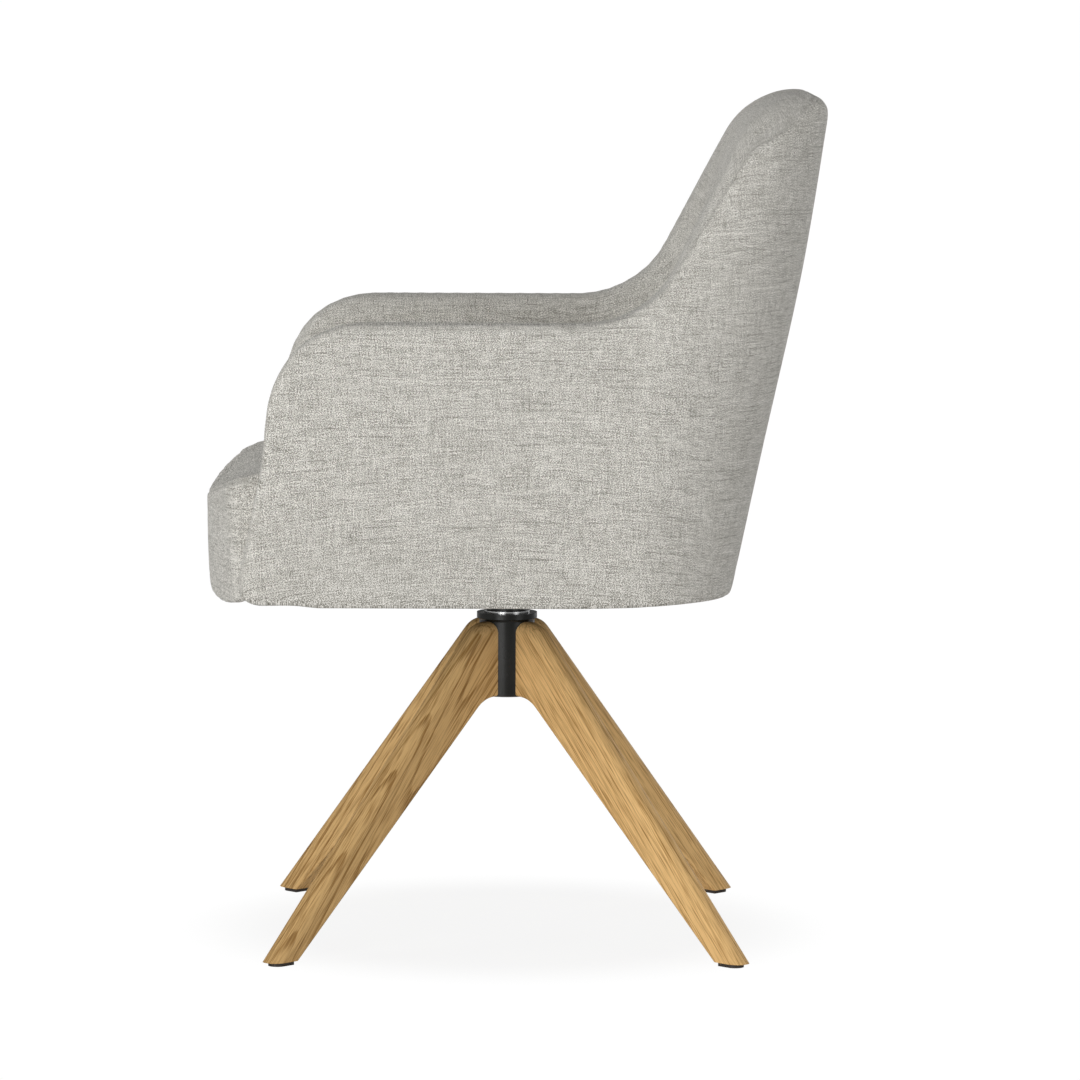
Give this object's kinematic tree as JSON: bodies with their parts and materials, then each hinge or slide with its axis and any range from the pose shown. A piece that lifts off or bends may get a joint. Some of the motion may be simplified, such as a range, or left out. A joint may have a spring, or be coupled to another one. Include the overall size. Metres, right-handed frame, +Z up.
{
  "type": "swivel armchair",
  "caption": "Upholstered tub armchair with curved arms and a high sloping back, turning on a short black column with splayed oak legs.",
  "frame": {"origin": "on the swivel axis at floor level, the middle of the square of the four glides", "axes": "+Z up along the swivel axis, -Y the way the chair faces, +X the sitter's left"},
  "size_m": [0.5324, 0.6203, 0.851],
  "materials": {
    "tub_fabric": "flat-woven melange cloth",
    "seat_fabric": "flat-woven melange cloth over foam",
    "padding_fabric": "flat-woven melange cloth over foam",
    "welt_fabric": "cloth over a foam roll",
    "oak": "matt lacquered oak",
    "plywood": "raw plywood",
    "shell_wood": "moulded plywood",
    "black_steel": "satin black powder coat",
    "turned_steel": "turned",
    "bearing_steel": "ground",
    "zinc_steel": "zinc plated",
    "black_plastic": "moulded",
    "pale_plastic": "moulded",
    "black_cloth": "thin spunbond"
  },
  "bodies": {
    "base": {"hub_column": "black_steel", "leg_front_left": "oak", "leg_rear_left": "oak", "leg_rear_right": "oak", "leg_front_right": "oak", "glide_front_left": "black_plastic", "glide_rear_left": "black_plastic", "glide_rear_right": "black_plastic", "glide_front_right": "black_plastic", "glide_nails": "zinc_steel", "leg_inserts": "zinc_steel", "leg_washers": "zinc_steel", "leg_bolts": "zinc_steel", "bearing_plug": "black_steel", "upper_bush": "pale_plastic", "lower_bush": "pale_plastic", "bottom_cap": "black_plastic", "bearing_race_lower": "bearing_steel"},
    "bearing_ring": {"bearing_cage": "pale_plastic", "bearing_balls": "bearing_steel"},
    "seat": {"bearing_race_upper": "bearing_steel", "spindle": "black_steel", "thrust_washer": "turned_steel", "retaining_ring": "turned_steel", "seat_plate": "black_steel", "plate_bolts": "zinc_steel", "board_tee_nuts": "zinc_steel", "frame_screws": "zinc_steel", "bottom_board": "plywood", "dust_cover": "black_cloth", "tub_cover": "tub_fabric", "tub_frame": "shell_wood", "edge_roll": "welt_fabric", "tub_padding": "padding_fabric", "seat_cushion": "seat_fabric"}
  },
  "joints": [
    {"name": "seat_swivel", "type": "hinge", "parent": "base", "child": "seat", "pos_m": [0, 0, 0.32], "axis": [0, 0, 1], "continuous": true},
    {"name": "cage_roll", "type": "hinge", "parent": "base", "child": "bearing_ring", "pos_m": [0, 0, 0.32], "axis": [0, 0, 1], "continuous": true}
  ],
  "couplings": [
    {"joint": "cage_roll", "follows": "seat_swivel", "ratio": 0.5}
  ]
}
